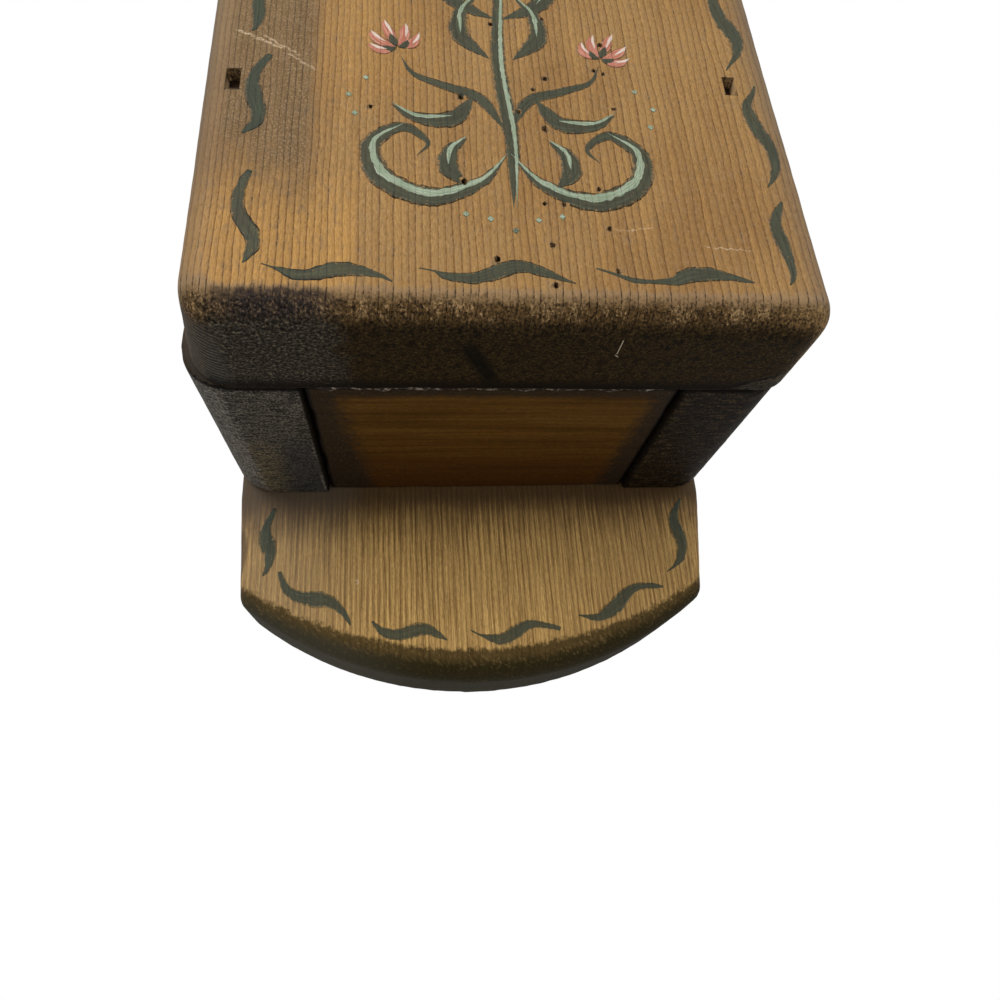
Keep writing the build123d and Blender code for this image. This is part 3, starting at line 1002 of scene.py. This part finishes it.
# a plain mirrored scroll tree with buds in the middle of the front
motifLook = {
    "middle": 1.5,
    "stem": ((0.0, 20.0), (0.6, 34.0), (-0.5, 52.0), (0.5, 72.0), (0.0, 92.0)),
    "scroll": ((0.6, 30.0), (5.0, 24.5), (12.5, 21.5), (19.5, 25.0), (21.0, 31.5), (16.5, 35.5), (12.5, 32.5),
               (14.2, 29.6)),
    "branch": ((0.4, 36.0), (4.0, 42.5), (9.5, 45.0), (14.5, 47.5), (16.5, 51.5)),
    "leaves": (
        ((5.0, 42.8), (8.5, 37.8), (14.0, 37.6), (18.0, 40.2)),
        ((2.0, 52.0), (6.5, 57.5), (6.2, 63.5), (3.2, 68.0)),
        ((0.6, 62.0), (7.0, 66.0), (10.5, 73.0), (9.0, 80.0)),
        ((7.0, 24.0), (9.5, 27.5), (9.0, 31.0), (6.4, 33.6)),
    ),
    "buds": ((17.0, 53.5, 68.0, 4.6), (0.0, 99.0, 90.0, 6.4)),
    "dots": ((0.0, 15.5), (3.6, 17.6), (7.2, 18.4), (23.6, 38.0), (24.6, 42.0), (22.0, 46.0)),
}


def mirrored(points, side):
    return [(side * x + motifLook["middle"], height) for x, height in points]


# Five teardrops spread like an open bud.
def petals(centre, turn, size):
    lines = []
    for spread in (-64, -32, 0, 32, 64):
        angle = math.radians(turn + spread)
        away = Vector((math.cos(angle), math.sin(angle)))
        bow = Vector((-away.y, away.x)) * (spread / 64.0) * 0.22
        reach = size * (1.45 - abs(spread) / 160.0)
        line = [Vector(centre) + away * reach * part + bow * reach * math.sin(part * math.pi)
                for part in (0.05, 0.4, 0.75, 1.0)]
        lines.append([(spot.x, spot.y) for spot in line])
    return lines


def motifStrokes():
    look = motifLook
    stem = mirrored(look["stem"], 1)
    green = [{"points": stem, "width": 2.8, "fat": 0.25}]
    raised = [(x + 0.5, height) for x, height in stem]
    pale = [{"points": raised, "width": 0.9, "coat": 2, "fat": 0.3, "jag": 0.3}]
    pink, cream = [], []
    for side in (-1, 1):
        scroll = mirrored(look["scroll"], side)
        green.append({"points": scroll, "width": 4.0, "fat": 0.45})
        inner = [(x - side * 0.35, height + 0.75) for x, height in scroll[:-2]]
        pale.append({"points": inner, "width": 1.7, "coat": 2, "fat": 0.55, "jag": 0.3})
        green.append({"points": mirrored(look["branch"], side), "width": 2.2, "fat": 0.3})
        for leaf in look["leaves"]:
            line = mirrored(leaf, side)
            green.append({"points": line, "width": 3.4, "fat": 0.4})
            raised = [(x, height + 0.5) for x, height in line[1:]]
            pale.append({"points": raised, "width": 0.9, "coat": 2, "fat": 0.4, "jag": 0.3})
        for x, height in mirrored(look["dots"], side):
            pale.append({"points": [(x - 0.5, height), (x + 0.5, height)], "width": 1.3, "coat": 2})
    for x, height, turn, size in look["buds"]:
        for side in ((-1, 1) if x else (1,)):
            centre = (side * x + look["middle"], height)
            angle = turn if side > 0 else 180 - turn
            for line in petals(centre, angle, size):
                pink.append({"points": line, "width": size * 0.46, "coat": 2, "fat": 0.55})
                bright = [(px + 0.35, pz + 0.25) for px, pz in line[1:]]
                cream.append({"points": bright, "width": size * 0.16, "coat": 3, "fat": 0.6, "jag": 0.3})
            cup = petals(centre, angle, size * 0.5)
            for line in (cup[0], cup[2], cup[4]):
                green.append({"points": line, "width": size * 0.34, "coat": 3, "fat": 0.45})
    return green, pale, pink, cream


glueLook = {"from": -30.5, "to": 30.5, "thick": 0.52, "step": 0.6, "sides": 8, "wide": 1.5}


# The uneven bead squeezed out along the seam under the front panel.
def glueBead(finish):
    look = glueLook
    shape = bmesh.new()
    rows = []
    count = int((look["to"] - look["from"]) / look["step"])
    for index in range(count + 1):
        x = look["from"] + index * look["step"]
        swell = 0.55 + 0.75 * max(noise.noise(Vector((x * 0.35, 4.0, 1.0))) + 0.35, 0.0)
        swell *= min(1.0, index / 4, (count - index) / 4) + 0.05
        radius = look["thick"] * swell
        centre = Vector((x * mm, seamPlane + 0.1 * mm, floorLow.z - 0.05 * mm))
        ring = []
        for corner in range(look["sides"]):
            angle = corner / look["sides"] * 2 * math.pi
            bumpy = radius * (1 + 0.3 * noise.noise(Vector((x * 1.4, angle * 2.0, 7.0))))
            away = Vector((0.0, math.cos(angle) * look["wide"], math.sin(angle)))
            ring.append(shape.verts.new(centre + away * bumpy * mm))
        rows.append(ring)
    for ring, following in zip(rows, rows[1:]):
        for corner in range(look["sides"]):
            shape.faces.new((ring[corner], ring[corner - 1], following[corner - 1], following[corner]))
    shape.faces.new(rows[0])
    shape.faces.new(rows[-1][::-1])
    bmesh.ops.recalc_face_normals(shape, faces=shape.faces)
    mesh = meshFrom("glue_bead", shape)
    mesh.materials.append(finish)
    smoothFaces(mesh)
    bead = addObject("glue_bead", mesh)
    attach(bead, "root")


print("boards")
sideMaterial = sideFinish()
panel = wornBoard("front_panel", "front_panel_worn", frontFinish(), 1)
wormHoles(panel)
foot = wornBoard("backboard", "backboard_worn", footFinish(), 2)
wornBoard("left_side", "left_side_worn", sideMaterial, 3)
wornBoard("right_side", "right_side_worn", sideMaterial, 4)
wornBoard("bottom_board", "bottom_board_worn", floorFinish(), 5)

print("nails and glue")
nailMaterial = nailFinish()
for name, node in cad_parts.items():
    if "nail" in name:
        for place in node.material_slots:
            place.material = nailMaterial
glueBead(glueFinish())

print("painted strokes")
graph = bpy.context.evaluated_depsgraph_get()
panelSurface = {"tree": BVHTree.FromObject(panel, graph), "from": faceFront - 20 * mm, "plane": faceFront}
footSurface = {"tree": BVHTree.FromObject(foot, graph), "from": footPlane - 10 * mm, "plane": footPlane}
green, pale, pink, cream = motifStrokes()
frontGreen = paintFinish("greenOnFront", frontWood, "darkGreen")
paintedPiece("border_strokes_front", panelSurface, borderStrokes(), frontGreen)
paintedPiece("scroll_strokes", panelSurface, green, frontGreen)
for name, strokes, paint in (("scroll_lights", pale, "paleGreen"), ("bud_petals", pink, "rosePink"),
                             ("bud_lights", cream, "creamWhite")):
    paintedPiece(name, panelSurface, strokes, paintFinish(paint, frontWood, paint))
footGreen = paintFinish("greenOnBack", footWood, "darkGreen")
paintedPiece("border_strokes_back", footSurface, footStrokes(), footGreen)

print("camera and light")
cameraLook = {
    "place": (-13.83, -158.17, -60.40),   # mm: x, depth and height over the underside
    "turn": 7.45,                         # degrees to the right of straight on
    "tilt": 22.50,                        # looking up
    "roll": 3.70,
    "focal": 709.65,                      # pixels
    "image": 1000,                        # pixels over the image
    "sensor": 36.0,
    "sees": (0.005, 20.0),                # m
}
lens = bpy.data.cameras.new("camera")
lens.sensor_width = cameraLook["sensor"]
lens.lens = cameraLook["focal"] / cameraLook["image"] * cameraLook["sensor"]
lens.clip_start, lens.clip_end = cameraLook["sees"]
camera = addObject("camera", lens)
x, depth, height = cameraLook["place"]
turned = Matrix.Rotation(-math.radians(cameraLook["turn"]), 4, "Z")
turned = turned @ Matrix.Rotation(math.radians(90 + cameraLook["tilt"]), 4, "X")
turned = turned @ Matrix.Rotation(-math.radians(cameraLook["roll"]), 4, "Z")
camera.matrix_world = Matrix.Translation(at(x, depth * mm, height)) @ turned
bpy.context.scene.camera = camera

lightLook = {
    # name, place (m), size (m), power (W)
    "lamps": (
        ("window", (-0.50, -0.80, 0.30), 0.7, 7.6),
        ("room", (0.75, -0.65, -0.05), 0.9, 3.4),
        ("table", (-0.35, -0.45, -0.70), 0.5, 1.0),
    ),
    "sky": 0.36,                 # what the white studio gives to the object
    "backdrop": 1.0,             # how white it looks
    "drop": 0.25,                # floor under the foot
    "reach": 0.8,                # radius of the floor
    "floorTone": (0.80, 0.80, 0.80),
}
aim = Vector((0.0, faceFront / 2, underside))
for name, place, size, power in lightLook["lamps"]:
    lamp = bpy.data.lights.new(name, "AREA")
    lamp.size = size
    lamp.energy = power
    holder = addObject(name, lamp)
    holder.location = place
    holder.rotation_euler = (aim - Vector(place)).to_track_quat("-Z", "Y").to_euler()

sky = bpy.data.worlds.new("paleSky")
sky.use_nodes = True
skyTree = sky.node_tree
glow = skyTree.nodes["Background"]
white = skyTree.nodes.new("ShaderNodeBackground")
for shader, strength in ((glow, lightLook["sky"]), (white, lightLook["backdrop"])):
    shader.inputs["Strength"].default_value = strength
    shader.inputs["Color"].default_value = (1.0, 1.0, 1.0, 1.0)
seen = skyTree.nodes.new("ShaderNodeLightPath")
choose = skyTree.nodes.new("ShaderNodeMixShader")
skyTree.links.new(seen.outputs["Is Camera Ray"], choose.inputs[0])
skyTree.links.new(glow.outputs[0], choose.inputs[1])
skyTree.links.new(white.outputs[0], choose.inputs[2])
skyTree.links.new(choose.outputs[0], skyTree.nodes["World Output"].inputs["Surface"])
bpy.context.scene.world = sky
bpy.context.scene.view_settings.view_transform = "Standard"

disc = bmesh.new()
bmesh.ops.create_circle(disc, cap_ends=True, segments=96, radius=lightLook["reach"],
                        matrix=Matrix.Translation((0.0, 0.0, backLow.z - lightLook["drop"])))
floorMesh = meshFrom("floor", disc)
floorMesh.materials.append(Finish("paleFloor").surface((*lightLook["floorTone"], 1.0), 0.8))
floorObject = addObject("floor", floorMesh)
